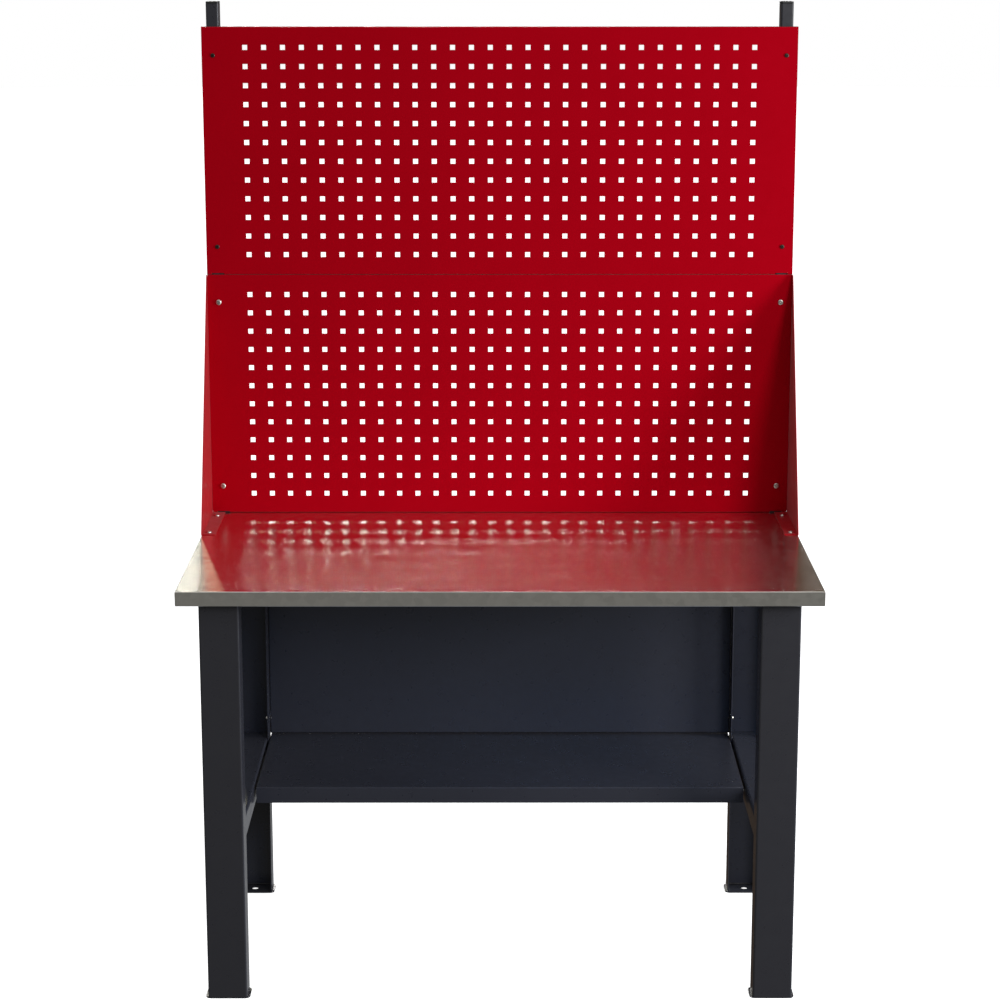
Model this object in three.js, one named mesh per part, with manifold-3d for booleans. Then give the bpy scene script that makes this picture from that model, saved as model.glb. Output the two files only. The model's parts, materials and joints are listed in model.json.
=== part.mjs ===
// Workbench with a shelf, a back panel and a perforated tool wall between two side panels.
// Millimetres, +Z up. The origin is on the floor below the middle of the worktop, X runs along
// the bench, and the bench is used from its -Y side. Pieces that touch keep a gap of GAP.

import * as THREE from "three";
import { mergeGeometries, mergeVertices } from "three/addons/utils/BufferGeometryUtils.js";
import Module from "manifold-3d";

const wasm = await Module();
wasm.setup();

// ---- Driving dimensions ----------------------------------------------------------------------

const GAP = 0.3;
const BEND_STEPS = 3;
const HOLE_SIDES = 8;
const HEAD_SIDES = 8;
const FOOT_HOLE_SIDES = 16;

const WORKTOP = {
  width: 1202, depth: 700, top: 815, thickness: 28.5,
  skin: 1, topRadius: 1.6, bottomRadius: 2.2, lip: 12, boardInset: 1.8,
};
const LEG = { width: 75, depth: 50, sheet: 2, bend: 1.5, centreX: 523.5, setBack: 25, rearY: 275 };
const FOOT = { width: 85, depth: 50, thickness: 2.5, radius: 10, holeRadius: 7 };
const CROSSBAR = { sheet: 2, bend: 3, lowerTop: 345, lowerDepth: 40, upperDepth: 30 };
const SHELF = { halfWidth: 484.5, frontY: -80, rearY: 277, top: 343, lip: 33, sheet: 1.2, bend: 1.3 };
const BACK_PANEL = {
  halfWidth: 485.7, frontY: 265, gapAboveShelf: 1.5, sheet: 1.2, bend: 1.3, fold: 12,
  lugHeight: 18, lugFrontY: 231,
};
const POST = {
  width: 25, depth: 40, wall: 2, radius: 3, centreX: 577.5, frontY: 306.3,
  top: 1865, capThickness: 4, capPlug: 14, baseThickness: 4,
};
const PANEL = {
  width: 1200, height: 500, sheet: 1.5, bend: 1, frontY: 302.8, fold: 15,
  pitch: 38, hole: 10, columns: 28, rows: 12,
  notchWidth: 26, notchHeight: 3, fixingFromEdge: 57,
};
const SIDE_PANEL = {
  sheet: 1.2, bend: 1, innerX: 600.3, bottomFrontY: 92, topFrontY: 298,
  footFlangeInnerX: 574, footFlangeFrontY: 100, backFlangeInnerX: 561, relief: 2.5,
  gapToPanel: 0.5,
};

// Places of the fixings.
const FOOT_FLANGE_FIXING = { x: 588, ys: [117, 268] };
const BACK_PANEL_FIXING = { y: 240, zs: [386, 745] };
const SHELF_FIXING = { ys: [-50, 200], z: 326 };
const WORKTOP_FIXING_YS = [-240, 190];

// Fixings: radii and lengths of the head and the shank.
const LARGE_SCREW = { headRadius: 6, headHeight: 3, shankRadius: 2.6, length: 13 };
const SMALL_SCREW = { headRadius: 4.5, headHeight: 1.6, shankRadius: 2, length: 9 };
const WOOD_SCREW = { headRadius: 6, headHeight: 2.4, shankRadius: 2.2, length: 18 };
const FRAME_BOLT = {
  headRadius: 3.5, headHeight: 3.6, shankRadius: 2, nutRadius: 4, nutHeight: 3, end: 1.5,
};
const POST_BOLT = { headRadius: 7, headHeight: 5, shankRadius: 4, length: 30 };
const HOLE_CLEARANCE = 0.7;

// ---- Levels worked out from the driving dimensions -------------------------------------------

const worktopUnderside = WORKTOP.top - WORKTOP.thickness;
const frameTop = worktopUnderside - GAP;
const worktopFrontY = -WORKTOP.depth / 2;
const worktopRearY = WORKTOP.depth / 2;
const worktopHalfWidth = WORKTOP.width / 2;
const legFrontY = worktopFrontY + LEG.setBack;
const legInnerX = LEG.centreX - LEG.width / 2;
const crossbarHalfWidth = LEG.width / 2 - LEG.sheet - GAP;
const crossbarInnerX = LEG.centreX - crossbarHalfWidth;
const crossbarFrontY = legFrontY + LEG.sheet + LEG.bend;
const crossbarRearY = LEG.rearY - LEG.sheet - LEG.bend;
const lowerPanelBottom = WORKTOP.top + GAP;
const upperPanelBottom = lowerPanelBottom + PANEL.height + GAP;
const panelBackY = PANEL.frontY + PANEL.sheet;
const postBaseTop = WORKTOP.top + GAP + POST.baseThickness;
const postTubeTop = POST.top - POST.capThickness - GAP;

// ---- Materials -------------------------------------------------------------------------------

const finish = (color, roughness, metalness) =>
  new THREE.MeshStandardMaterial({ color, roughness, metalness });

const redPaint = finish(0x9c0312, 0.4, 0);
const greyPaint = finish(0x2b2a2f, 0.45, 0);
const galvanised = finish(0x9a978e, 0.25, 1);
const zinc = finish(0xc4c2bd, 0.3, 1);
const darkScrew = finish(0x3a3636, 0.5, 1);
const board = finish(0x9b7a52, 0.8, 0);
const plastic = finish(0x1c1d1f, 0.5, 0);

// ---- Outlines --------------------------------------------------------------------------------

const asPoints = (pairs) => pairs.map(([u, v]) => new THREE.Vector2(u, v));
const heading = (from, to) => to.clone().sub(from).normalize();
const leftOf = (direction) => new THREE.Vector2(-direction.y, direction.x);

/** The corner as an arc of the given radius, or as itself when the radius is zero. */
function roundCorner(before, corner, after, radiusOf) {
  const inward = heading(before, corner);
  const outward = heading(corner, after);
  const turn = Math.atan2(inward.cross(outward), inward.dot(outward));
  const radius = radiusOf(turn);
  if (radius === 0) {
    return [corner];
  }
  const start = corner.clone().addScaledVector(inward, -radius * Math.tan(Math.abs(turn) / 2));
  const centre = start.clone().addScaledVector(leftOf(inward), radius * Math.sign(turn));
  return Array.from({ length: BEND_STEPS + 1 }, (_, i) =>
    start.clone().rotateAround(centre, (turn * i) / BEND_STEPS));
}

/** An open path with its inner corners rounded. */
function roundPath(path, radiusOf) {
  return path.flatMap((point, i) =>
    i === 0 || i === path.length - 1
      ? [point]
      : roundCorner(path[i - 1], point, path[i + 1], radiusOf));
}

/** The path moved to its left by a distance, with square corners. */
function offsetPath(path, distance) {
  const last = path.length - 1;
  return path.map((point, i) => {
    const before = leftOf(heading(path[Math.max(i - 1, 0)], path[Math.max(i, 1)]));
    const after = leftOf(heading(path[Math.min(i, last - 1)], path[Math.min(i + 1, last)]));
    return point.clone().addScaledVector(before.clone().add(after), distance / (1 + before.dot(after)));
  });
}

/** The section of a bent sheet. The path is one face, and the metal lies to its left. */
function sheetSection(pairs, sheet, bend) {
  const face = asPoints(pairs);
  const near = roundPath(face, (turn) => bend + (turn > 0 ? sheet : 0));
  const far = roundPath(offsetPath(face, sheet), (turn) => bend + (turn > 0 ? 0 : sheet));
  return new THREE.Shape([...near, ...far.reverse()]);
}

/** A rectangle whose upper and lower corners have their own radii. */
function roundedRectangle(u0, u1, v0, v1, upperRadius, lowerRadius = upperRadius) {
  const corners = asPoints([[u0, v0], [u1, v0], [u1, v1], [u0, v1]]);
  const radii = [lowerRadius, lowerRadius, upperRadius, upperRadius];
  return corners.flatMap((corner, i) =>
    roundCorner(corners[(i + 3) % 4], corner, corners[(i + 1) % 4], () => radii[i]));
}

/** A channel section about u = 0: its web is on v = 0, and it opens towards +v or -v. */
function channelSection(halfWidth, depth, sheet, bend, opens) {
  const path = [[-halfWidth, depth], [-halfWidth, 0], [halfWidth, 0], [halfWidth, depth]];
  return sheetSection(path.map(([u, v]) => [u * opens, v * opens]), sheet, bend);
}

/** Points evenly round a circle, used for drilled holes. */
function circlePoints(radius, sides, u = 0, v = 0) {
  return Array.from({ length: sides }, (_, i) => {
    const angle = (2 * Math.PI * (i + 0.5)) / sides;
    return new THREE.Vector2(u + radius * Math.cos(angle), v + radius * Math.sin(angle));
  });
}

// ---- Solids ----------------------------------------------------------------------------------

const AXIS_X = new THREE.Vector3(1, 0, 0);
const AXIS_Y = new THREE.Vector3(0, 1, 0);
const AXIS_Z = new THREE.Vector3(0, 0, 1);

const extrude = (shape, depth) => new THREE.ExtrudeGeometry(shape, { depth, bevelEnabled: false });
const shapeOf = (outline) => (outline instanceof THREE.Shape ? outline : new THREE.Shape(outline));

/** A section drawn in (y, z) and drawn out along X. */
function alongX(outline, from, to) {
  return extrude(shapeOf(outline), to - from)
    .applyMatrix4(new THREE.Matrix4().makeBasis(AXIS_Y, AXIS_Z, AXIS_X))
    .translate(from, 0, 0);
}

/** A section drawn in (x, z) and drawn out along Y. */
function alongY(outline, from, to) {
  return extrude(shapeOf(outline), to - from).rotateX(Math.PI / 2).translate(0, to, 0);
}

/** A section drawn in (x, y) and drawn out along Z. */
function alongZ(outline, from, to) {
  return extrude(shapeOf(outline), to - from).translate(0, 0, from);
}

function box(x0, x1, y0, y1, z0, z1) {
  return new THREE.BoxGeometry(x1 - x0, y1 - y0, z1 - z0)
    .translate((x0 + x1) / 2, (y0 + y1) / 2, (z0 + z1) / 2);
}

/** A drill through the point (x, y, z), running along one axis for a reach either way. */
function drill(axis, radius, x, y, z, reach = 4) {
  const turned = {
    x: () => alongX(circlePoints(radius, HOLE_SIDES, y, z), x - reach, x + reach),
    y: () => alongY(circlePoints(radius, HOLE_SIDES, x, z), y - reach, y + reach),
    z: () => alongZ(circlePoints(radius, HOLE_SIDES, x, y), z - reach, z + reach),
  };
  return turned[axis]();
}

/** The triangles of one or more geometries, with nothing but their positions. */
function bareTriangles(geometries) {
  return mergeGeometries(geometries.map((geometry) => {
    const loose = geometry.index ? geometry.toNonIndexed() : geometry.clone();
    loose.deleteAttribute("normal");
    loose.deleteAttribute("uv");
    return loose;
  }));
}

/** The manifold solid of closed geometries that don't touch each other. */
function solid(...geometries) {
  const merged = mergeVertices(bareTriangles(geometries));
  return new wasm.Manifold(new wasm.Mesh({
    numProp: 3,
    vertProperties: merged.attributes.position.array,
    triVerts: new Uint32Array(merged.index.array),
  }));
}

function geometryOf(manifold) {
  const { vertProperties, triVerts } = manifold.getMesh();
  const geometry = new THREE.BufferGeometry();
  geometry.setAttribute("position", new THREE.BufferAttribute(vertProperties, 3));
  geometry.setIndex(new THREE.BufferAttribute(triVerts, 1));
  geometry.computeVertexNormals();
  return geometry;
}

const cut = (geometry, tools) => geometryOf(solid(geometry).subtract(solid(...tools)));
const join = (a, b) => geometryOf(solid(a).add(solid(b)));
const common = (a, b) => geometryOf(solid(a).intersect(solid(b)));

/** The same solid on the other side of the plane X = 0. */
function mirrored(geometry) {
  const copy = geometryOf(solid(geometry));
  copy.scale(-1, 1, 1);
  const corners = copy.index.array;
  for (let i = 0; i < corners.length; i += 3) {
    [corners[i], corners[i + 1]] = [corners[i + 1], corners[i]];
  }
  return copy;
}

/** A block whose upper and lower long edges are rounded on all four sides. */
function roundedBlock(halfX, y0, y1, z0, z1, upperRadius, lowerRadius) {
  return common(
    alongY(roundedRectangle(-halfX, halfX, z0, z1, upperRadius, lowerRadius), y0, y1),
    alongX(roundedRectangle(y0, y1, z0, z1, upperRadius, lowerRadius), -halfX, halfX));
}

/** A screw along +Y: the seat of its head is at the origin and its shank points to -Y. */
function screw({ headRadius, headHeight, shankRadius, length }, sides = HEAD_SIDES) {
  return new THREE.LatheGeometry(asPoints([
    [0, -length], [shankRadius, -length], [shankRadius, 0],
    [headRadius, 0], [headRadius * 0.93, headHeight * 0.5], [headRadius * 0.55, headHeight],
    [0, headHeight],
  ]), sides);
}

/** A bolt along +Y with its nut on it; grip is the distance from the head's seat to the nut. */
function boltAndNut(grip) {
  const { headRadius, headHeight, shankRadius, nutRadius, nutHeight, end } = FRAME_BOLT;
  const nutEnd = -grip - nutHeight;
  return new THREE.LatheGeometry(asPoints([
    [0, nutEnd - end], [shankRadius, nutEnd - end], [shankRadius, nutEnd], [nutRadius, nutEnd],
    [nutRadius, -grip], [shankRadius, -grip], [shankRadius, 0], [headRadius, 0],
    [headRadius, headHeight * 0.8], [headRadius * 0.8, headHeight], [0, headHeight],
  ]), HEAD_SIDES);
}

// ---- The scene graph -------------------------------------------------------------------------

const bench = new THREE.Group();

function add(name, geometry, material) {
  const mesh = new THREE.Mesh(geometry, material);
  mesh.name = name;
  bench.add(mesh);
}

/** A piece given on the right of the bench, and its mirror image on the left. */
function addPair(name, geometry, material) {
  add(`right_${name}`, geometry, material);
  add(`left_${name}`, mirrored(geometry), material);
}

// ---- Worktop: a board in a folded sheet cover ------------------------------------------------

const footFlangeSpots = FOOT_FLANGE_FIXING.ys.flatMap((y) =>
  [-1, 1].map((side) => [side * FOOT_FLANGE_FIXING.x, y]));
const postSpots = [-1, 1].map((side) => [side * POST.centreX, POST.frontY + POST.depth / 2]);
const worktopFixingSpots = WORKTOP_FIXING_YS.flatMap((y) =>
  [-1, 1].map((side) => [side * LEG.centreX, y]));

const worktopDrills = [
  ...footFlangeSpots.map(([x, y]) =>
    drill("z", WOOD_SCREW.shankRadius + HOLE_CLEARANCE, x, y, WORKTOP.top, 18)),
  ...postSpots.map(([x, y]) =>
    drill("z", POST_BOLT.shankRadius + HOLE_CLEARANCE, x, y, WORKTOP.top, 40)),
];

function worktopCover() {
  const { skin, topRadius, bottomRadius, lip } = WORKTOP;
  const outer = roundedBlock(worktopHalfWidth, worktopFrontY, worktopRearY,
    worktopUnderside, WORKTOP.top, topRadius, bottomRadius);
  const inner = roundedBlock(worktopHalfWidth - skin, worktopFrontY + skin, worktopRearY - skin,
    worktopUnderside + skin, WORKTOP.top - skin, topRadius - skin, bottomRadius - skin);
  const mouth = box(lip - worktopHalfWidth, worktopHalfWidth - lip,
    worktopFrontY + lip, worktopRearY - lip, worktopUnderside - 1, worktopUnderside + skin + 1);
  const sheetOnly = cut(outer, [join(inner, mouth)]);
  return cut(sheetOnly, worktopDrills);
}

function worktopBoard() {
  const { boardInset, lip } = WORKTOP;
  const slab = box(boardInset - worktopHalfWidth, worktopHalfWidth - boardInset,
    worktopFrontY + boardInset, worktopRearY - boardInset,
    worktopUnderside + boardInset, WORKTOP.top - boardInset);
  const rebate = lip + GAP;
  const underside = box(rebate - worktopHalfWidth, worktopHalfWidth - rebate,
    worktopFrontY + rebate, worktopRearY - rebate,
    worktopUnderside, WORKTOP.top - WORKTOP.thickness / 2);
  const pilots = worktopFixingSpots.map(([x, y]) =>
    drill("z", WOOD_SCREW.shankRadius + HOLE_CLEARANCE, x, y, worktopUnderside, 17));
  return cut(join(slab, underside), [...worktopDrills, ...pilots]);
}

add("worktop_cover", worktopCover(), galvanised);
add("worktop_board", worktopBoard(), board);

// ---- Legs and feet ---------------------------------------------------------------------------

const legFootTop = FOOT.thickness + GAP;

function legBlank(opens, webY) {
  const section = channelSection(LEG.width / 2, LEG.depth, LEG.sheet, LEG.bend, opens);
  return alongZ(section, legFootTop, frameTop).translate(LEG.centreX, webY, 0);
}

function rearLeg() {
  const wallX = legInnerX + LEG.sheet / 2;
  const holes = BACK_PANEL_FIXING.zs.map((z) =>
    drill("x", FRAME_BOLT.shankRadius + HOLE_CLEARANCE, wallX, BACK_PANEL_FIXING.y, z));
  return cut(legBlank(-1, LEG.rearY), holes);
}

/** A foot plate under a leg, with an anchor hole in its middle. */
function footPlate(frontY) {
  const { width, depth, radius, holeRadius, thickness } = FOOT;
  const outline = new THREE.Shape(roundedRectangle(
    LEG.centreX - width / 2, LEG.centreX + width / 2, frontY, frontY + depth, radius));
  const middleY = frontY + depth / 2;
  outline.holes.push(new THREE.Path(circlePoints(holeRadius, FOOT_HOLE_SIDES, LEG.centreX, middleY)));
  return alongZ(outline, 0, thickness);
}

addPair("front_leg", legBlank(1, legFrontY), greyPaint);
addPair("rear_leg", rearLeg(), greyPaint);
addPair("front_foot", footPlate(legFrontY), greyPaint);
addPair("rear_foot", footPlate(LEG.rearY - FOOT.depth), greyPaint);

// ---- Crossbars of the side frames ------------------------------------------------------------

function crossbar(top, depth, holes) {
  const section = channelSection(crossbarHalfWidth, depth, CROSSBAR.sheet, CROSSBAR.bend, -1);
  const bar = alongY(section, crossbarFrontY, crossbarRearY).translate(LEG.centreX, 0, top);
  return cut(bar, holes);
}

const shelfHoles = (x) => SHELF_FIXING.ys.map((y) =>
  drill("x", FRAME_BOLT.shankRadius + HOLE_CLEARANCE, x, y, SHELF_FIXING.z, 3));
const topCrossbarHoles = WORKTOP_FIXING_YS.map((y) =>
  drill("z", WOOD_SCREW.shankRadius + HOLE_CLEARANCE, LEG.centreX, y, frameTop));

addPair("lower_crossbar",
  crossbar(CROSSBAR.lowerTop, CROSSBAR.lowerDepth, shelfHoles(crossbarInnerX + CROSSBAR.sheet / 2)),
  greyPaint);
addPair("top_crossbar", crossbar(frameTop, CROSSBAR.upperDepth, topCrossbarHoles), greyPaint);

// ---- Shelf and back panel --------------------------------------------------------------------

/** A sheet pan turned upside down, with a lip on all four sides. */
function shelf() {
  const { halfWidth, frontY, rearY, top, lip, sheet, bend } = SHELF;
  const bottom = top - lip;
  const outer = roundedBlock(halfWidth, frontY, rearY, bottom, top, bend + sheet, 0);
  const inner = roundedBlock(halfWidth - sheet, frontY + sheet, rearY - sheet,
    bottom - 1, top - sheet, bend, 0);
  const lipX = halfWidth - sheet / 2;
  return cut(cut(outer, [inner]), [...shelfHoles(lipX), ...shelfHoles(-lipX)]);
}

/** A tray open to the rear, with lugs folded forwards at its sides that lie against the legs. */
function backPanel() {
  const { halfWidth, frontY, gapAboveShelf, sheet, bend, fold, lugHeight, lugFrontY } = BACK_PANEL;
  const bottom = SHELF.top + gapAboveShelf;
  const top = frameTop - GAP;
  const backY = frontY + 2 * fold;
  const radius = bend + sheet;
  const outer = common(
    alongZ(roundedRectangle(-halfWidth, halfWidth, frontY, backY, radius), bottom, top),
    alongX(roundedRectangle(frontY, backY, bottom, top, radius), -halfWidth, halfWidth));
  const hollow = box(sheet - halfWidth, halfWidth - sheet, frontY + sheet, backY + 1,
    bottom + sheet, top - sheet);
  const rearHalf = box(-halfWidth - 1, halfWidth + 1, frontY + fold, backY + 1, bottom - 1, top + 1);
  const tray = cut(outer, [join(hollow, rearHalf)]);
  const fixings = BACK_PANEL_FIXING.zs.flatMap((z) =>
    [-1, 1].map((side) => [side * (halfWidth - sheet / 2), z]));
  const lugs = fixings.map(([x, z]) => box(x - sheet / 2, x + sheet / 2,
    lugFrontY, frontY + fold / 2, z - lugHeight / 2, z + lugHeight / 2));
  const holes = fixings.map(([x, z]) =>
    drill("x", FRAME_BOLT.shankRadius + HOLE_CLEARANCE, x, BACK_PANEL_FIXING.y, z));
  return cut(lugs.reduce(join, tray), holes);
}

add("shelf", shelf(), greyPaint);
add("back_panel", backPanel(), greyPaint);

// ---- Posts of the tool wall ------------------------------------------------------------------

const fixingHeights = (panelBottom) =>
  [panelBottom + PANEL.fixingFromEdge, panelBottom + PANEL.height - PANEL.fixingFromEdge];
const lowerFixingZs = fixingHeights(lowerPanelBottom);
const upperFixingZs = fixingHeights(upperPanelBottom);

const postBackY = POST.frontY + POST.depth;
const postOutline = (inset, radius) => roundedRectangle(
  POST.centreX - POST.width / 2 + inset, POST.centreX + POST.width / 2 - inset,
  POST.frontY + inset, postBackY - inset, radius);

function post() {
  const section = new THREE.Shape(postOutline(0, POST.radius));
  section.holes.push(new THREE.Path(postOutline(POST.wall, POST.radius - POST.wall)));
  const wallY = POST.frontY + POST.wall / 2;
  const drillAt = ({ shankRadius }) => (z) =>
    drill("y", shankRadius + HOLE_CLEARANCE, POST.centreX, wallY, z, POST.wall);
  const holes = [
    ...lowerFixingZs.map(drillAt(LARGE_SCREW)),
    ...upperFixingZs.map(drillAt(SMALL_SCREW)),
  ];
  return cut(alongZ(section, postBaseTop + GAP, postTubeTop), holes);
}

function postCap() {
  const lid = alongZ(postOutline(0, POST.radius), postTubeTop + GAP, POST.top);
  const plug = alongZ(postOutline(POST.wall + GAP, POST.radius - POST.wall),
    postTubeTop - POST.capPlug, POST.top - 1);
  return join(lid, plug);
}

function postBase() {
  const plate = alongZ(postOutline(0, POST.radius), WORKTOP.top + GAP, postBaseTop);
  const middleY = POST.frontY + POST.depth / 2;
  return cut(plate,
    [drill("z", POST_BOLT.shankRadius + HOLE_CLEARANCE, POST.centreX, middleY, postBaseTop, 8)]);
}

addPair("post", post(), greyPaint);
addPair("post_cap", postCap(), plastic);
addPair("post_base", postBase(), greyPaint);

// ---- Perforated panels -----------------------------------------------------------------------

/** The square punches of one panel, in its own grid about the panel's middle. */
function punches(middleZ) {
  const half = PANEL.hole / 2;
  const all = [];
  for (let column = 0; column < PANEL.columns; column += 1) {
    const x = (column - (PANEL.columns - 1) / 2) * PANEL.pitch;
    for (let row = 0; row < PANEL.rows; row += 1) {
      const z = middleZ + (row - (PANEL.rows - 1) / 2) * PANEL.pitch;
      all.push(box(x - half, x + half, PANEL.frontY - 1, panelBackY + 1, z - half, z + half));
    }
  }
  return all;
}

/** A panel folded back along its top and bottom, and notched where the posts pass the folds. */
function perforatedPanel(bottom, { shankRadius }) {
  const { width, height, sheet, bend, frontY, fold, notchWidth, notchHeight } = PANEL;
  const top = bottom + height;
  const backEdgeY = frontY + fold;
  const section = sheetSection(
    [[backEdgeY, top], [frontY, top], [frontY, bottom], [backEdgeY, bottom]], sheet, bend);
  const notches = [-1, 1].flatMap((side) => {
    const x0 = side * POST.centreX - notchWidth / 2;
    const x1 = side * POST.centreX + notchWidth / 2;
    return [
      box(x0, x1, frontY - 1, backEdgeY + 1, bottom - 1, bottom + notchHeight),
      box(x0, x1, frontY + sheet + bend, backEdgeY + 1, top - notchHeight, top + 1),
    ];
  });
  const holes = fixingHeights(bottom).flatMap((z) => [-1, 1].map((side) =>
    drill("y", shankRadius + HOLE_CLEARANCE, side * POST.centreX, frontY, z)));
  return cut(alongX(section, -width / 2, width / 2),
    [...notches, ...punches(bottom + height / 2)].concat(holes));
}

add("lower_perforated_panel", perforatedPanel(lowerPanelBottom, LARGE_SCREW), redPaint);
add("upper_perforated_panel", perforatedPanel(upperPanelBottom, SMALL_SCREW), redPaint);

// ---- Side panels -----------------------------------------------------------------------------

/** A slanted sheet with a flange on the worktop and a flange between the panel and the post. */
function sidePanel() {
  const { sheet, bend, innerX, relief } = SIDE_PANEL;
  const outerX = innerX + sheet;
  const bottom = WORKTOP.top + GAP;
  const top = lowerPanelBottom + PANEL.height;
  const backY = panelBackY + SIDE_PANEL.gapToPanel + sheet;
  const bendReach = sheet + bend;
  const footSection = sheetSection(
    [[SIDE_PANEL.footFlangeInnerX, bottom], [outerX, bottom], [outerX, top]], sheet, bend);
  const footed = alongY(footSection, SIDE_PANEL.bottomFrontY, backY - bendReach);
  const aboveSlant = alongX(asPoints([
    [SIDE_PANEL.bottomFrontY - 1, bottom + bendReach],
    [SIDE_PANEL.bottomFrontY, bottom + bendReach],
    [SIDE_PANEL.topFrontY, top],
    [SIDE_PANEL.topFrontY, top + 1],
    [SIDE_PANEL.bottomFrontY - 1, top + 1],
  ]), innerX - 1, outerX + 1);
  const flangeEnds = [
    box(SIDE_PANEL.footFlangeInnerX - 1, innerX - bend,
      SIDE_PANEL.bottomFrontY - 1, SIDE_PANEL.footFlangeFrontY, bottom - 1, bottom + sheet + 1),
    box(SIDE_PANEL.footFlangeInnerX - 1, innerX, PANEL.frontY - GAP, backY + 1,
      bottom - 1, bottom + bendReach),
  ];
  const backSection = sheetSection(
    [[outerX, backY - 2 * bendReach], [outerX, backY], [SIDE_PANEL.backFlangeInnerX, backY]],
    sheet, bend);
  const backFlange = alongZ(backSection, bottom + sheet + relief, top - sheet - relief);
  const holes = [
    ...FOOT_FLANGE_FIXING.ys.map((y) =>
      drill("z", WOOD_SCREW.shankRadius + HOLE_CLEARANCE, FOOT_FLANGE_FIXING.x, y, bottom)),
    ...lowerFixingZs.map((z) =>
      drill("y", LARGE_SCREW.shankRadius + HOLE_CLEARANCE, POST.centreX, backY, z, sheet + 1)),
  ];
  const trimmed = [aboveSlant, ...flangeEnds].reduce((piece, tool) => cut(piece, [tool]), footed);
  return cut(join(trimmed, backFlange), holes);
}

addPair("side_panel", sidePanel(), redPaint);

// ---- Fixings ---------------------------------------------------------------------------------

/** A fixing turned so that its head points along an axis, and moved to its seat. */
const placed = (geometry, turn, x, y, z) => geometry.applyMatrix4(turn).translate(x, y, z);

const headToFront = new THREE.Matrix4().makeRotationX(Math.PI);
const headUp = new THREE.Matrix4().makeRotationX(Math.PI / 2);
const headDown = new THREE.Matrix4().makeRotationX(-Math.PI / 2);
const headInward = new THREE.Matrix4().makeRotationZ(Math.PI / 2);
const LEVEL_NAMES = ["bottom", "top"];
const PLACE_NAMES = ["front", "rear"];

lowerFixingZs.forEach((z, i) => addPair(`lower_panel_screw_${LEVEL_NAMES[i]}`,
  placed(screw(LARGE_SCREW), headToFront, POST.centreX, PANEL.frontY - GAP, z), zinc));
upperFixingZs.forEach((z, i) => addPair(`upper_panel_screw_${LEVEL_NAMES[i]}`,
  placed(screw(SMALL_SCREW), headToFront, POST.centreX, PANEL.frontY - GAP, z), darkScrew));

const footFlangeTop = WORKTOP.top + GAP + SIDE_PANEL.sheet;
FOOT_FLANGE_FIXING.ys.forEach((y, i) => addPair(`side_panel_screw_${PLACE_NAMES[i]}`,
  placed(screw(WOOD_SCREW), headUp, FOOT_FLANGE_FIXING.x, y, footFlangeTop + GAP), zinc));

const panelBoltSeatX = BACK_PANEL.halfWidth - BACK_PANEL.sheet - GAP;
const panelBoltGrip = legInnerX + LEG.sheet + GAP - panelBoltSeatX;
BACK_PANEL_FIXING.zs.forEach((z, i) => addPair(`back_panel_bolt_${LEVEL_NAMES[i]}`,
  placed(boltAndNut(panelBoltGrip), headInward, panelBoltSeatX, BACK_PANEL_FIXING.y, z), zinc));

const shelfBoltSeatX = SHELF.halfWidth - SHELF.sheet - GAP;
const shelfBoltGrip = crossbarInnerX + CROSSBAR.sheet + GAP - shelfBoltSeatX;
SHELF_FIXING.ys.forEach((y, i) => addPair(`shelf_bolt_${PLACE_NAMES[i]}`,
  placed(boltAndNut(shelfBoltGrip), headInward, shelfBoltSeatX, y, SHELF_FIXING.z), zinc));

WORKTOP_FIXING_YS.forEach((y, i) => addPair(`worktop_screw_${PLACE_NAMES[i]}`,
  placed(screw(WOOD_SCREW), headDown, LEG.centreX, y, frameTop - CROSSBAR.sheet - GAP), zinc));
addPair("post_bolt",
  placed(screw(POST_BOLT, 6), headDown, ...postSpots[1], worktopUnderside - GAP), zinc);

export default bench;
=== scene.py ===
import json
import math

import bmesh
import bpy
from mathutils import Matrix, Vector


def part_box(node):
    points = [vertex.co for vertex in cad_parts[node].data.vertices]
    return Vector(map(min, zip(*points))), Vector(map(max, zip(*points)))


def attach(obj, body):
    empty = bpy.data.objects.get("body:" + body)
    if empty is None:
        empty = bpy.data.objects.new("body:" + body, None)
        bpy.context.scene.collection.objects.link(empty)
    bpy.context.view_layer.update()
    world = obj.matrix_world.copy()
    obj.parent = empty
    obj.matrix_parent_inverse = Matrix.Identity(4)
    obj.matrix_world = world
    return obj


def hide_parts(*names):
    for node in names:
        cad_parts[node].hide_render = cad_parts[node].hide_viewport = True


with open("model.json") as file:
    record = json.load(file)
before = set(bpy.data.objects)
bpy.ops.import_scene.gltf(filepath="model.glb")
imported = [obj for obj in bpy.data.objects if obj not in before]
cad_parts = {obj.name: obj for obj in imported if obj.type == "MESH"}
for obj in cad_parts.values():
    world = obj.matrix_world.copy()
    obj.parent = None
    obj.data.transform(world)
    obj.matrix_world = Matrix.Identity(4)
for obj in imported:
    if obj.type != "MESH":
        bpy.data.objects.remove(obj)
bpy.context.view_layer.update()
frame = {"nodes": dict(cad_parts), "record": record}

MM = 0.001
SIDES = ("left", "right")
ENDS = ("front", "rear")
LEVELS = ("bottom", "top")

# ---- Camera and stage --------------------------------------------------------------------------

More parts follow.
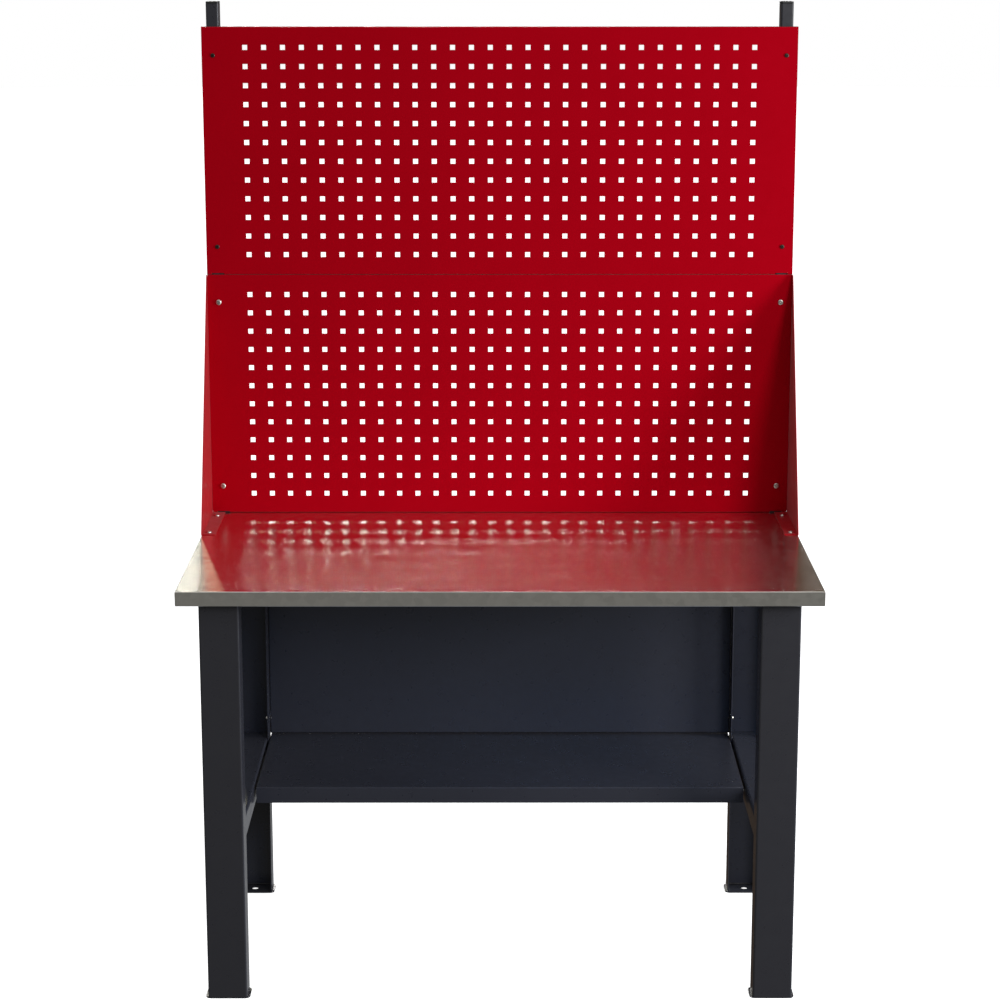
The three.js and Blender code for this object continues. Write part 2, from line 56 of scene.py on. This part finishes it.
CAMERA = {
    "place": (-0.0038, -4.9361, 2.0205), "down_degrees": 12.680, "turn_radians": -0.00082,
    "lens": 92.47, "sensor": 36.0, "clip_end": 200.0,
}
FLOOR = {"size": 60.0, "color": (0.9, 0.9, 0.9), "glow": 0.8}
BACKDROP = {"radius": 28.0, "color": (0.0, 0.0, 0.0), "glow": 1.0, "segments": 48, "rings": 24}
SKY = {
    "left": (0.10, 0.11, 0.13), "right": (0.34, 0.37, 0.44), "front": (0.14, 0.14, 0.135),
    "above": (0.75, 0.75, 0.75), "back": (0.085, 0.06, 0.042), "back_left": (0.12, 0.16, 0.20),
    "back_low_right": (0.42, 0.43, 0.44), "bright_band": (46.0, 45.0, 45.0),
}
# Where each part of the sky begins and where it is whole, as one component of the view direction.
SKY_EDGES = {
    "right": (-0.3, 0.3), "sides": (-0.7, 0.3), "above": (0.3, 0.7), "back": (0.6, 0.85),
    "back_left": (-0.09, -0.12), "back_high": (-0.04, 0.0),
    "back_right": (0.02, 0.1), "back_low": (-0.02, -0.12),
    "band_bottom": (0.375, 0.39), "band_top": (0.46, 0.44),
    "band_right": (0.10, -0.09), "band_left": (-0.092, -0.079),
}
AREA_LIGHTS = {
    "key": {
        "place": (2.6, -3.6, 2.5), "aim": (0.0, 0.1, 1.1), "size": (1.4, 1.4),
        "power": 80.0, "color": (1.0, 0.98, 0.95),
    },
    "side": {
        "place": (3.2, -0.9, 1.3), "aim": (-0.6, 0.2, 1.0), "size": (0.8, 1.2),
        "power": 98.0, "color": (0.90, 0.95, 1.0),
    },
}
BAY_LIGHT = {
    "place": (0.9, -1.7, 1.25), "aim": (0.3, 0.2, 0.4), "size": (2.3, 0.3),
    "power": 14.0, "color": (0.28, 0.50, 1.0),
}
BAY_PIECES = [
    "back_panel", "shelf", "left_rear_leg", "right_rear_leg", "left_lower_crossbar", "right_lower_crossbar",
]
LOW_SUN = {
    "towards": (-0.17, 1.0, 0.4525), "degrees_wide": 1.2, "power": 0.08, "color": (0.95, 0.90, 0.62),
}


def link_object(name, data):
    thing = bpy.data.objects.new(name, data)
    bpy.context.scene.collection.objects.link(thing)
    return thing


def aim_at(thing, target):
    direction = Vector(target) - thing.location
    thing.rotation_euler = direction.to_track_quat("-Z", "Y").to_euler()


class Graph:
    """Adds nodes to a tree: inputs are values or sockets, by name or by number."""

    def __init__(self, tree):
        self.tree = tree
        self.tree.nodes.clear()

    def add(self, kind, inputs=None, **settings):
        node = self.tree.nodes.new("ShaderNode" + kind)
        for key, value in settings.items():
            setattr(node, key, value)
        for key, value in (inputs or {}).items():
            socket = node.inputs[key]
            if isinstance(value, bpy.types.NodeSocket):
                self.tree.links.new(value, socket)
            else:
                socket.default_value = value
        return node

    def math(self, operation, *values, **settings):
        return self.add("Math", dict(enumerate(values)), operation=operation, **settings).outputs[0]

    def blend(self, factor, first, second):
        node = self.add("Mix", {0: factor, 6: first, 7: second}, data_type="RGBA")
        return node.outputs[2]

    def ramp(self, value, low, high, out_low=0.0, out_high=1.0):
        inputs = {"Value": value, "From Min": low, "From Max": high, "To Min": out_low, "To Max": out_high}
        return self.add("MapRange", inputs, interpolation_type="SMOOTHSTEP").outputs[0]


def rgba(color):
    return (*color, 1.0)


def make_camera():
    data = bpy.data.cameras.new("camera")
    data.lens = CAMERA["lens"]
    data.sensor_width = CAMERA["sensor"]
    data.clip_end = CAMERA["clip_end"]
    camera = link_object("camera", data)
    camera.location = CAMERA["place"]
    camera.rotation_euler = (math.radians(90 - CAMERA["down_degrees"]), 0, CAMERA["turn_radians"])
    bpy.context.scene.camera = camera


def mesh_of(name, body):
    """The mesh of a bmesh, which is freed."""
    mesh = bpy.data.meshes.new(name)
    body.to_mesh(mesh)
    body.free()
    return mesh


def seen_only_by_camera(thing):
    for ray in ("diffuse", "glossy", "transmission", "volume_scatter", "shadow"):
        setattr(thing, f"visible_{ray}", False)


def stage_material(name, color, glow):
    material = bpy.data.materials.new(name)
    material.use_nodes = True
    graph = Graph(material.node_tree)
    shader = graph.add("BsdfPrincipled", {
        "Base Color": rgba(color), "Roughness": 1.0, "Specular IOR Level": 0.0,
        "Emission Color": (1, 1, 1, 1), "Emission Strength": glow,
    })
    graph.add("OutputMaterial", {"Surface": shader.outputs[0]})
    return material


def make_stage():
    """A pale floor and a white ball round everything, which light nothing."""
    half = FLOOR["size"] / 2
    corners = [(-half, -half, 0), (half, -half, 0), (half, half, 0), (-half, half, 0)]
    floor = bpy.data.meshes.new("floor")
    floor.from_pydata(corners, [], [(0, 1, 2, 3)])
    ball = bmesh.new()
    segments, rings = BACKDROP["segments"], BACKDROP["rings"]
    bmesh.ops.create_uvsphere(ball, u_segments=segments, v_segments=rings, radius=BACKDROP["radius"])
    for mesh, look in ((floor, FLOOR), (mesh_of("backdrop", ball), BACKDROP)):
        mesh.materials.append(stage_material(f"{mesh.name}_white", look["color"], look["glow"]))
        seen_only_by_camera(link_object(mesh.name, mesh))


def make_world():
    """A studio: dim all round, pale above, and a bright band behind the bench, 22 to 27 degrees up."""
    world = bpy.data.worlds.new("studio")
    bpy.context.scene.world = world
    world.use_nodes = True
    graph = Graph(world.node_tree)
    direction = graph.add("TexCoord").outputs["Generated"]
    x, y, z = graph.add("SeparateXYZ", {0: direction}).outputs

    def within(*limits):
        """The product of ramps, each an axis and one of the sky's edges."""
        ramps = [graph.ramp(axis, *SKY_EDGES[edge]) for axis, edge in limits]
        share = ramps[0]
        for ramp in ramps[1:]:
            share = graph.math("MULTIPLY", share, ramp)
        return share

    back = rgba(SKY["back"])
    for name, share in (
        ("back_left", within((x, "back_left"), (z, "back_high"))),
        ("back_low_right", within((x, "back_right"), (z, "back_low"))),
        ("bright_band", within((z, "band_bottom"), (z, "band_top"), (x, "band_right"), (x, "band_left"))),
    ):
        back = graph.blend(share, back, rgba(SKY[name]))
    sides = graph.blend(within((x, "right")), rgba(SKY["left"]), rgba(SKY["right"]))
    around = graph.blend(within((y, "sides")), rgba(SKY["front"]), sides)
    around = graph.blend(within((z, "above")), around, rgba(SKY["above"]))
    color = graph.blend(within((y, "back")), around, back)
    background = graph.add("Background", {"Color": color, "Strength": 1.0})
    graph.add("OutputWorld", {"Surface": background.outputs[0]})


def add_area_light(name, look):
    data = bpy.data.lights.new(name, "AREA")
    data.shape = "RECTANGLE"
    data.size, data.size_y = look["size"]
    data.energy = look["power"]
    data.color = look["color"]
    light = link_object(name, data)
    light.location = look["place"]
    aim_at(light, look["aim"])
    return light


def make_lights():
    """Two soft lamps, a strip that lights only the bay, and a low sun through the wall's holes."""
    for name, look in AREA_LIGHTS.items():
        add_area_light(name, look)
    bay = add_area_light("bay", BAY_LIGHT)
    bay.light_linking.receiver_collection = bpy.data.collections.new("bay_pieces")
    for name in BAY_PIECES:
        bay.light_linking.receiver_collection.objects.link(frame["nodes"][name])
    data = bpy.data.lights.new("low_sun", "SUN")
    data.energy = LOW_SUN["power"]
    data.angle = math.radians(LOW_SUN["degrees_wide"])
    data.color = LOW_SUN["color"]
    sun = link_object("low_sun", data)
    sun.location = LOW_SUN["towards"]
    aim_at(sun, (0, 0, 0))


# ---- Materials ---------------------------------------------------------------------------------


def new_material(name):
    material = bpy.data.materials.new(name)
    material.use_nodes = True
    graph = Graph(material.node_tree)
    place = graph.add("TexCoord").outputs["Object"]
    return material, graph, place


def finish_material(graph, inputs):
    shader = graph.add("BsdfPrincipled", inputs)
    graph.add("OutputMaterial", {"Surface": shader.outputs[0]})


def noise(graph, place, per_metre, detail=2.0, roughness=0.5):
    inputs = {"Vector": place, "Scale": per_metre, "Detail": detail, "Roughness": roughness}
    return graph.add("TexNoise", inputs).outputs["Fac"]


def bump(graph, height, depth, under=None):
    inputs = {"Height": height, "Strength": 1.0, "Distance": depth}
    if under is not None:
        inputs["Normal"] = under
    return graph.add("Bump", inputs).outputs[0]


def shade_of(color, factor):
    return rgba([min(1.0, channel * factor) for channel in color])


def stretched(graph, place, factors):
    return graph.add("VectorMath", {0: place, 1: factors}, operation="MULTIPLY").outputs[0]


def cell_tones(graph, place, per_metre):
    """One random tone for each cell."""
    cells = graph.add("TexVoronoi", {"Vector": place, "Scale": per_metre}).outputs["Color"]
    return graph.add("SeparateColor", {0: cells}).outputs[0]


def weighted(graph, first, second, share):
    """A share of the first tone, and the second for the rest."""
    parts = graph.math("MULTIPLY", first, share), graph.math("MULTIPLY", second, 1 - share)
    return graph.math("ADD", *parts)


def uneven(graph, tone, low, high, roughness, smoother, rougher):
    """A roughness that follows a tone, from a little smoother to a little rougher."""
    return graph.ramp(tone, low, high, roughness - smoother, roughness + rougher)


def powder_coat(name, color, roughness, tint=(1.0, 1.0, 1.0), sheen=0.0, peel_depth=0.00002):
    """Powder coat: an even colour with faint clouds, and the fine orange peel of the cured powder."""
    material, graph, place = new_material(name)
    clouds = noise(graph, place, per_metre=7.0, detail=3.0)
    patches = noise(graph, place, per_metre=45.0, detail=4.0)
    peel = noise(graph, place, per_metre=260.0, detail=1.0)
    wave = noise(graph, place, per_metre=14.0, detail=1.0)
    finish_material(graph, {
        "Base Color": graph.blend(clouds, shade_of(color, 0.95), shade_of(color, 1.05)),
        "Roughness": uneven(graph, patches, 0.3, 0.7, roughness, smoother=0.03, rougher=0.04),
        "Specular Tint": rgba(tint),
        "Sheen Weight": sheen,
        "Sheen Roughness": 0.4,
        "Normal": bump(graph, peel, peel_depth, under=bump(graph, wave, depth=0.00025)),
    })
    return material


def galvanised_sheet(name, color, roughness):
    """Satin sheet that isn't quite flat: long waves, faint spangle and fine rolling marks along X."""
    material, graph, place = new_material(name)
    spangle = cell_tones(graph, place, per_metre=85.0)
    rolling = noise(graph, stretched(graph, place, (12.0, 900.0, 900.0)), per_metre=1.0, detail=2.0)
    long_wave = noise(graph, place, per_metre=9.0, detail=1.0)
    short_wave = noise(graph, place, per_metre=38.0, detail=1.0)
    tone = weighted(graph, spangle, rolling, share=0.55)
    waves = bump(graph, short_wave, depth=0.000015, under=bump(graph, long_wave, depth=0.0001))
    finish_material(graph, {
        "Base Color": graph.blend(tone, shade_of(color, 0.94), shade_of(color, 1.05)),
        "Metallic": 1.0,
        "Roughness": uneven(graph, tone, 0.2, 0.8, roughness, smoother=0.02, rougher=0.03),
        "Normal": bump(graph, rolling, depth=0.000004, under=waves),
    })
    return material


def plated_metal(name, color, roughness):
    """Small turned or stamped metal pieces with a plated or blackened surface."""
    material, graph, place = new_material(name)
    tone = noise(graph, place, per_metre=350.0, detail=4.0)
    grain = noise(graph, place, per_metre=1500.0, detail=2.0)
    finish_material(graph, {
        "Base Color": graph.blend(tone, shade_of(color, 0.85), shade_of(color, 1.1)),
        "Metallic": 1.0,
        "Roughness": uneven(graph, tone, 0.3, 0.7, roughness, smoother=0.06, rougher=0.08),
        "Normal": bump(graph, grain, depth=0.00001),
    })
    return material


def moulded_plastic(name, color, roughness):
    """Plastic with the fine grain of its mould."""
    material, graph, place = new_material(name)
    grain = noise(graph, place, per_metre=1800.0, detail=3.0, roughness=0.7)
    clouds = noise(graph, place, per_metre=90.0)
    finish_material(graph, {
        "Base Color": graph.blend(clouds, shade_of(color, 0.9), shade_of(color, 1.1)),
        "Roughness": uneven(graph, grain, 0.3, 0.7, roughness, smoother=0.05, rougher=0.08),
        "Normal": bump(graph, grain, depth=0.00004),
    })
    return material


def particle_board(name, dark, light):
    """Pressed chips of several shades of wood, flattened along Z."""
    material, graph, place = new_material(name)
    flattened = stretched(graph, place, (1.0, 1.0, 2.6))
    chips = cell_tones(graph, flattened, per_metre=260.0)
    fibre = noise(graph, flattened, per_metre=900.0, detail=4.0, roughness=0.6)
    tone = weighted(graph, chips, fibre, share=0.7)
    finish_material(graph, {
        "Base Color": graph.blend(tone, rgba(dark), rgba(light)),
        "Roughness": 0.85,
        "Normal": bump(graph, tone, depth=0.0003),
    })
    return material


MATERIALS = {
    "red_paint": powder_coat(
        "red_powder_coat", (0.38, 0.0, 0.006), roughness=0.33, tint=(1.0, 0.0, 0.05), sheen=0.10),
    "grey_paint": powder_coat(
        "anthracite_powder_coat", (0.030, 0.030, 0.037), roughness=0.30, peel_depth=0.000012),
    "galvanised_steel": galvanised_sheet("satin_galvanised", (0.90, 0.87, 0.81), roughness=0.22),
    "zinc": plated_metal("zinc_plate", (0.70, 0.68, 0.64), roughness=0.30),
    "dark_screw": plated_metal("blackened_steel", (0.07, 0.05, 0.045), roughness=0.42),
    "black_plastic": moulded_plastic("black_plastic", (0.013, 0.014, 0.015), roughness=0.45),
    "board": particle_board("particle_board", dark=(0.23, 0.14, 0.07), light=(0.62, 0.46, 0.28)),
}

# ---- Carried-over CAD nodes --------------------------------------------------------------------

# The small radius of cut and bent edges in millimetres, for the slots that have one.
EDGE_RADIUS = {
    "red_paint": 0.3, "grey_paint": 0.4, "galvanised_steel": 0.2, "black_plastic": 0.8, "board": 0.3,
}
SOFTEN = {"merge": 0.01, "flat_degrees": 0.5, "edge_degrees": 40, "segments": 2}


def slot_of_nodes():
    return {part["node"]: part["material_slot"] for part in frame["record"]["subparts"]}


def soften_edges(node, radius):
    """Joins the facets, makes flat faces whole, and rounds the edges."""
    weld = node.modifiers.new("weld", "WELD")
    weld.merge_threshold = SOFTEN["merge"] * MM
    flat = node.modifiers.new("flat", "DECIMATE")
    flat.decimate_type = "DISSOLVE"
    flat.angle_limit = math.radians(SOFTEN["flat_degrees"])
    bevel = node.modifiers.new("edge", "BEVEL")
    bevel.limit_method = "ANGLE"
    bevel.angle_limit = math.radians(SOFTEN["edge_degrees"])
    bevel.width = radius
    bevel.segments = SOFTEN["segments"]
    bevel.harden_normals = True


def paint_cad_nodes():
    for name, slot in slot_of_nodes().items():
        node = frame["nodes"][name]
        holder = node.material_slots[0]
        holder.link = "OBJECT"
        holder.material = MATERIALS[slot]
        if slot in EDGE_RADIUS:
            soften_edges(node, EDGE_RADIUS[slot] * MM)


# ---- Detailed fixings: each stands for a plain CAD solid ---------------------------------------

# Sizes in millimetres, head and shank and nut as radii. A share is a part of the size it goes with.
RING_SIDES = 24
THREAD_STEPS = 4
THREAD_ROOT_SHARE = 0.8
SMOOTH_DEGREES = 35
UNDER_SEAT = -0.02
UNDER_NUT = 0.05
CROSS = {"arm": 2.6, "width": 1.0, "depth": 1.6, "floor_share": 0.45, "overshoot": 1.0}
SCREW = {"point": 0.25, "thread_top": -1.0, "shank_top": -0.8, "seat_share": 0.97, "rim_share": 0.12}
DOME = {"degrees": (20, 40, 60, 75, 88), "top_share": 0.55, "power": 0.7}
PAN_SCREW = {"head": 6.0, "height": 3.0, "shank": 2.6, "length": 13.0, "pitch": 1.4, "tip": 3.0}
FLAT_SCREW = {"head": 4.5, "height": 1.6, "shank": 2.0, "length": 9.0, "pitch": 1.1, "tip": 2.0}
WOOD_SCREW = {"head": 6.0, "height": 2.4, "shank": 2.2, "length": 18.0, "pitch": 2.0, "tip": 4.5}
FRAME_BOLT = {
    "head": 3.5, "height": 3.6, "seat_share": 0.95, "chamfer": 0.3, "side_share": 0.85,
    "corner_share": 1.0, "top_share": 0.8, "shank": 2.0, "pitch": 0.8, "end": 1.5, "end_share": 0.8,
    "lead_in": 0.3, "nut": 4.0, "nut_height": 3.0, "nut_chamfer": 0.4, "nut_face_share": 0.82,
}
POST_BOLT = {
    "head": 7.0, "height": 5.0, "seat_share": 0.84, "chamfer": 0.4, "side_share": 0.82,
    "corner_share": 0.98, "top_share": 0.82, "shank": 4.0, "length": 30.0, "pitch": 1.25,
    "end_share": 0.75, "lead_in": 0.8, "plain": 10.0, "runout": 0.5,
}
# Which way the head points, on the left and on the right.
INWARD = {"left": (1, 0, 0), "right": (-1, 0, 0)}
FORWARD = dict.fromkeys(SIDES, (0, -1, 0))
UPWARD = dict.fromkeys(SIDES, (0, 0, 1))
DOWNWARD = dict.fromkeys(SIDES, (0, 0, -1))


def full_turn(count):
    """Angles evenly round a circle."""
    return [2 * math.pi * i / count for i in range(count)]


def skin_rings(body, rings):
    """Joins rings of vertices in order, and closes both ends."""
    for low, high in zip(rings, rings[1:]):
        for i in range(len(low)):
            j = (i + 1) % len(low)
            body.faces.new((low[i], low[j], high[j], high[i]))
    body.faces.new(reversed(rings[0]))
    body.faces.new(rings[-1])


def solid_mesh(name, body):
    """The mesh of a closed bmesh, its faces turned outward."""
    bmesh.ops.recalc_face_normals(body, faces=body.faces)
    return mesh_of(name, body)


def circle(radius):
    return lambda angle: radius


def hexagon(corner_radius, round_radius=math.inf):
    """A hexagon whose corners are turned down to a round radius."""
    flat = corner_radius * math.cos(math.pi / 6)
    return lambda angle: min(round_radius, flat / math.cos(angle % (math.pi / 3) - math.pi / 6))


def thread(root, crest, pitch, height):
    """One height of a helical thread with a V profile."""
    def radius(angle):
        phase = (height / pitch - angle / (2 * math.pi)) % 1
        return root + (crest - root) * (1 - abs(2 * phase - 1))
    return radius


def threaded_rings(start, end, crest, pitch):
    """Rings of a threaded rod from one height to another, full at both ends."""
    count = max(2, round(abs(end - start) / pitch * THREAD_STEPS))
    heights = [start + (end - start) * i / count for i in range(count + 1)]
    return [(height, thread(crest * THREAD_ROOT_SHARE, crest, pitch, height)) for height in heights]


def lathe_mesh(name, rings):
    """A closed solid round Z in millimetres: each ring is a height and a radius for each angle."""
    body = bmesh.new()
    loops = []
    for height, radius in rings:
        angles = full_turn(RING_SIDES)
        points = [(radius(a) * math.cos(a), radius(a) * math.sin(a), height) for a in angles]
        loops.append([body.verts.new(Vector(point) * MM) for point in points])
    skin_rings(body, loops)
    return solid_mesh(name, body)


def cross_cutter(top):
    """Two tapered bars that cross, used to press the driver recess into a screw head."""
    body = bmesh.new()
    arm, half_width = CROSS["arm"], CROSS["width"] / 2
    levels = ((top - CROSS["depth"], CROSS["floor_share"]), (top + CROSS["overshoot"], 1.0))
    for along in (Vector((1, 0, 0)), Vector((0, 1, 0))):
        across = along.yxz
        rings = []
        for height, share in levels:
            middle = Vector((0, 0, height))
            spots = [
                middle + along * u * arm * share + across * v * half_width
                for u, v in ((-1, -1), (1, -1), (1, 1), (-1, 1))
            ]
            rings.append([body.verts.new(spot * MM) for spot in spots])
        skin_rings(body, rings)
    return solid_mesh("cross_cutter", body)


def with_recess(mesh, top):
    """The same solid with a cross recess in its top."""
    blank = link_object("recess_blank", mesh)
    cutter = link_object("recess_cutter", cross_cutter(top))
    press = blank.modifiers.new("press", "BOOLEAN")
    press.operation = "DIFFERENCE"
    press.solver = "EXACT"
    press.use_self = True
    press.object = cutter
    evaluated = blank.evaluated_get(bpy.context.evaluated_depsgraph_get())
    pressed = bpy.data.meshes.new_from_object(evaluated)
    pressed.name = mesh.name
    for thing in (blank, cutter):
        bpy.data.objects.remove(thing)
    return pressed


def screw_mesh(name, size):
    """A screw with its head's seat at Z = 0, a domed head above and a pointed thread below."""
    head, height, shank, length = size["head"], size["height"], size["shank"], size["length"]
    top_share, power = DOME["top_share"], DOME["power"]
    dome = [
        (height * math.sin(a), circle(head * (top_share + (1 - top_share) * math.cos(a) ** power)))
        for a in map(math.radians, DOME["degrees"])
    ]
    rings = [
        (-length, circle(SCREW["point"])),
        *threaded_rings(size["tip"] - length, SCREW["thread_top"], shank, size["pitch"]),
        (SCREW["shank_top"], circle(shank)),
        (UNDER_SEAT, circle(shank)),
        (0.0, circle(head * SCREW["seat_share"])),
        (height * SCREW["rim_share"], circle(head)),
        *dome,
    ]
    return with_recess(lathe_mesh(name, rings), dome[-1][0])


def hexagon_head_rings(size):
    """A hexagon head on its seat at Z = 0, chamfered below and above."""
    head, height = size["head"], size["height"]
    return [
        (0.0, circle(head * size["seat_share"])),
        (size["chamfer"], hexagon(head)),
        (height * size["side_share"], hexagon(head, head * size["corner_share"])),
        (height, circle(head * size["top_share"])),
    ]


def bolt_mesh(name, size, grip):
    """A hexagon bolt with its head's seat at Z = 0 and its nut seated at the grip below."""
    shank, nut, chamfer = size["shank"], size["nut"], size["nut_chamfer"]
    nut_face = circle(nut * size["nut_face_share"])
    nut_end = -grip - size["nut_height"]
    end = nut_end - size["end"]
    rings = [
        (end, circle(shank * size["end_share"])),
        *threaded_rings(end + size["lead_in"], nut_end - UNDER_NUT, shank, size["pitch"]),
        (nut_end, nut_face),
        (nut_end + chamfer, hexagon(nut)),
        (-grip - chamfer, hexagon(nut)),
        (-grip, nut_face),
        (-grip, circle(shank)),
        (UNDER_SEAT, circle(shank)),
        *hexagon_head_rings(size),
    ]
    return lathe_mesh(name, rings)


def post_bolt_mesh(name, size):
    """A long hexagon bolt with a chamfered end and a plain stretch under its head."""
    shank, length, plain = size["shank"], size["length"], size["plain"]
    rings = [
        (-length, circle(shank * size["end_share"])),
        *threaded_rings(size["lead_in"] - length, -plain, shank, size["pitch"]),
        (size["runout"] - plain, circle(shank)),
        (UNDER_SEAT, circle(shank)),
        *hexagon_head_rings(size),
    ]
    return lathe_mesh(name, rings)


def smooth_by_angle(mesh, degrees=SMOOTH_DEGREES):
    mesh.polygons.foreach_set("use_smooth", [True] * len(mesh.polygons))
    mesh.set_sharp_from_angle(angle=math.radians(degrees))


def paint_head(mesh):
    """Gives every face above the seat the second material slot."""
    for face in mesh.polygons:
        face.material_index = 1 if face.center.z > UNDER_SEAT / 2 * MM else 0


def place_fixing(node, mesh, head_towards, seat_height):
    """Puts a fixing where its CAD solid is: the axis from the box's middle, the head at one end."""
    low, high = (Vector(corner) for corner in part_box(node))
    axis = Vector(head_towards)
    middle = (low + high) / 2
    reach = abs(axis.dot(high - low)) / 2
    piece = link_object(f"{node}_detail", mesh)
    piece.rotation_euler = axis.to_track_quat("Z", "Y").to_euler()
    piece.location = middle + axis * (reach - seat_height * MM)
    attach(piece, "root")
    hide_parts(node)


def finished(mesh, *slots):
    """Puts the materials of some slots on a mesh."""
    mesh.materials.clear()
    for slot in slots:
        mesh.materials.append(MATERIALS[slot])
    return mesh


def grip_of(node):
    """What a frame bolt clamps: its CAD solid's length less its head, its nut and its free end."""
    low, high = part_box(node)
    outside = FRAME_BOLT["height"] + FRAME_BOLT["nut_height"] + FRAME_BOLT["end"]
    return (high[0] - low[0]) / MM - outside


def fixing_families():
    """Each family: the nodes' name, their places, the mesh, where its heads point, the head's height."""
    panel_grip, shelf_grip = grip_of("left_back_panel_bolt_bottom"), grip_of("left_shelf_bolt_front")
    pan = finished(screw_mesh("pan_screw", PAN_SCREW), "zinc")
    flat = finished(screw_mesh("flat_screw", FLAT_SCREW), "dark_screw")
    wood = finished(screw_mesh("wood_screw", WOOD_SCREW), "zinc")
    panel_bolt = finished(bolt_mesh("panel_bolt", FRAME_BOLT, panel_grip), "zinc", "grey_paint")
    paint_head(panel_bolt)
    shelf_bolt = finished(bolt_mesh("shelf_bolt", FRAME_BOLT, shelf_grip), "zinc")
    post_bolt = finished(post_bolt_mesh("post_bolt", POST_BOLT), "zinc")
    return [
        ("lower_panel_screw", LEVELS, pan, FORWARD, PAN_SCREW["height"]),
        ("upper_panel_screw", LEVELS, flat, FORWARD, FLAT_SCREW["height"]),
        ("side_panel_screw", ENDS, wood, UPWARD, WOOD_SCREW["height"]),
        ("worktop_screw", ENDS, wood, DOWNWARD, WOOD_SCREW["height"]),
        ("back_panel_bolt", LEVELS, panel_bolt, INWARD, FRAME_BOLT["height"]),
        ("shelf_bolt", ENDS, shelf_bolt, INWARD, FRAME_BOLT["height"]),
        ("post_bolt", ("",), post_bolt, DOWNWARD, POST_BOLT["height"]),
    ]


def add_fixings():
    for family, places, mesh, heads, height in fixing_families():
        smooth_by_angle(mesh)
        for side in SIDES:
            for place in places:
                node = "_".join(filter(None, (side, family, place)))
                place_fixing(node, mesh, heads[side], height)


# ---- Weld beads --------------------------------------------------------------------------------

# Sizes in millimetres. The gaps are from a bead's end to the leg's web or to its mouth.
WELD = {
    "radius": 1.35, "stand_off": 1.4, "sides": 10, "end_share": 0.5, "smooth_degrees": 60,
    "ripple": 0.12, "ripple_length": 1.6, "ripple_steps": 4, "fewest_steps": 6,
}
LEG_SHEET = 2.0
LEG_BEND = 1.5
FOOT_WELD_MOUTH_GAP = 6.0
CROSSBAR_WELD = {"web_gap": 10.0, "mouth_gap": 4.0, "height": 0.15}


def bead_rings(body, start, end):
    """The rings of one rippled bead, thinner at both ends."""
    along = (end - start).normalized()
    across = along.orthogonal().normalized()
    up = along.cross(across)
    steps = WELD["ripple_steps"]
    count = max(WELD["fewest_steps"], round((end - start).length / MM / WELD["ripple_length"] * steps))
    around = [across * math.cos(turn) + up * math.sin(turn) for turn in full_turn(WELD["sides"])]
    rings = []
    for i in range(count + 1):
        ripple = 1 - WELD["ripple"] * (1 - math.cos(2 * math.pi * i / steps)) / 2
        taper = WELD["end_share"] if i in (0, count) else 1.0
        radius = WELD["radius"] * MM * ripple * taper
        centre = start.lerp(end, i / count)
        rings.append([body.verts.new(centre + way * radius) for way in around])
    return rings


def bead_mesh(name, runs):
    """Rippled beads along straight runs, each from a start to an end, in metres."""
    body = bmesh.new()
    for start, end in runs:
        skin_rings(body, bead_rings(body, Vector(start), Vector(end)))
    return solid_mesh(name, body)


def add_weld(name, runs):
    mesh = bead_mesh(name, runs)
    smooth_by_angle(mesh, WELD["smooth_degrees"])
    mesh.materials.append(MATERIALS["grey_paint"])
    piece = link_object(name, mesh)
    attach(piece, "root")


def leg_channel(side, end):
    """A leg's sides in X, its web and its mouth in Y, and the way from the web to the mouth."""
    low, high = (Vector(corner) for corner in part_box(f"{side}_{end}_leg"))
    if end == "front":
        return low.x, high.x, low.y, high.y, 1
    return low.x, high.x, high.y, low.y, -1


def foot_weld_runs(side, end):
    """Beads inside a leg's channel, along its web and its two flanges, on the foot plate."""
    left, right, web, mouth, inward = leg_channel(side, end)
    wall = (LEG_SHEET + WELD["stand_off"]) * MM
    bend = LEG_BEND * MM
    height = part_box(f"{side}_{end}_foot")[1][2] + WELD["stand_off"] * MM
    x0, x1 = left + wall, right - wall
    web_y = web + inward * wall
    flange_y = web_y + inward * bend
    mouth_y = mouth - inward * FOOT_WELD_MOUTH_GAP * MM
    return [
        ((x0 + bend, web_y, height), (x1 - bend, web_y, height)),
        ((x0, flange_y, height), (x0, mouth_y, height)),
        ((x1, flange_y, height), (x1, mouth_y, height)),
    ]


def crossbar_weld_runs(side, end):
    """Beads on the shoulders of the lower crossbar, where it runs between a leg's flanges."""
    left, right, web, mouth, inward = leg_channel(side, end)
    wall = (LEG_SHEET + WELD["stand_off"]) * MM
    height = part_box(f"{side}_lower_crossbar")[1][2] + CROSSBAR_WELD["height"] * MM
    near, far = sorted((
        web + inward * CROSSBAR_WELD["web_gap"] * MM,
        mouth - inward * CROSSBAR_WELD["mouth_gap"] * MM,
    ))
    return [((x, near, height), (x, far, height)) for x in (left + wall, right - wall)]


def add_welds():
    for side in SIDES:
        for end in ENDS:
            add_weld(f"{side}_{end}_foot_weld", foot_weld_runs(side, end))
            add_weld(f"{side}_{end}_crossbar_weld", crossbar_weld_runs(side, end))


make_camera()
make_stage()
make_world()
make_lights()
paint_cad_nodes()
add_fixings()
add_welds()
bpy.context.scene.view_settings.view_transform = "Standard"
